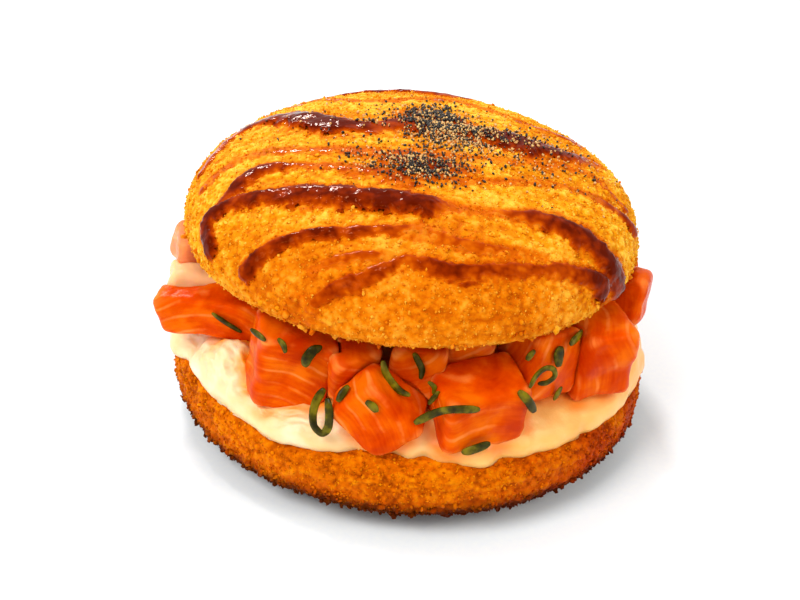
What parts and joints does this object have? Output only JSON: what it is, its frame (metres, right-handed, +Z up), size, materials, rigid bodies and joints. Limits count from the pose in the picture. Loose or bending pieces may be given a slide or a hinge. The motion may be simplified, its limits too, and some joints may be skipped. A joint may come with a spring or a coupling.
{
  "type": "sushi burger",
  "caption": "Burger made of crumbed and fried rice buns, filled with cream cheese, diced raw salmon and spring onion, with dark sauce drizzled over the top and poppy seeds on it.",
  "frame": {"origin": "centre of the bottom bun's flat base", "axes": "+Z up through both buns, -Y out of the side that the picture shows"},
  "size_m": [0.1036, 0.1012, 0.0636],
  "materials": {
    "top_crust": "rough golden breadcrumb crust with glossy brown sauce and black seeds",
    "bottom_crust": "rough deep golden breadcrumb crust, darker at the base",
    "cream_cheese": "smooth and softly shiny spread",
    "salmon": "wet raw fish with pale fat lines",
    "spring_onion": "moist dark green leaf"
  },
  "bodies": {
    "root": {"bun_bottom": "bottom_crust", "bun_top": "top_crust", "cream_cheese": "cream_cheese", "onion_arc": "spring_onion", "onion_arc_right": "spring_onion", "onion_back": "spring_onion", "onion_back_left": "spring_onion", "onion_back_right": "spring_onion", "onion_behind": "spring_onion", "onion_bright": "spring_onion", "onion_corner": "spring_onion", "onion_curl": "spring_onion", "onion_fork": "spring_onion", "onion_loop": "spring_onion", "onion_low": "spring_onion", "onion_on_left": "spring_onion", "onion_pale_curl": "spring_onion", "onion_ring": "spring_onion", "onion_shaded": "spring_onion", "onion_side": "spring_onion", "onion_small_left": "spring_onion", "onion_speck": "spring_onion", "onion_strip": "spring_onion", "onion_top_left": "spring_onion", "onion_top_middle": "spring_onion", "onion_under": "spring_onion", "salmon_centre": "salmon", "salmon_dark": "salmon", "salmon_diamond": "salmon", "salmon_far_right": "salmon", "salmon_front_left": "salmon", "salmon_inner_1": "salmon", "salmon_inner_2": "salmon", "salmon_inner_3": "salmon", "salmon_inner_4": "salmon", "salmon_inner_5": "salmon", "salmon_inner_6": "salmon", "salmon_inner_7": "salmon", "salmon_left": "salmon", "salmon_left_back": "salmon", "salmon_pale_slice": "salmon", "salmon_right": "salmon", "salmon_ring_1": "salmon", "salmon_ring_2": "salmon", "salmon_ring_3": "salmon", "salmon_ring_4": "salmon", "salmon_ring_5": "salmon", "salmon_ring_6": "salmon", "salmon_ring_7": "salmon", "salmon_ring_8": "salmon", "salmon_ring_9": "salmon", "salmon_ringed": "salmon", "salmon_shaded": "salmon", "salmon_tan": "salmon"}
  },
  "joints": []
}
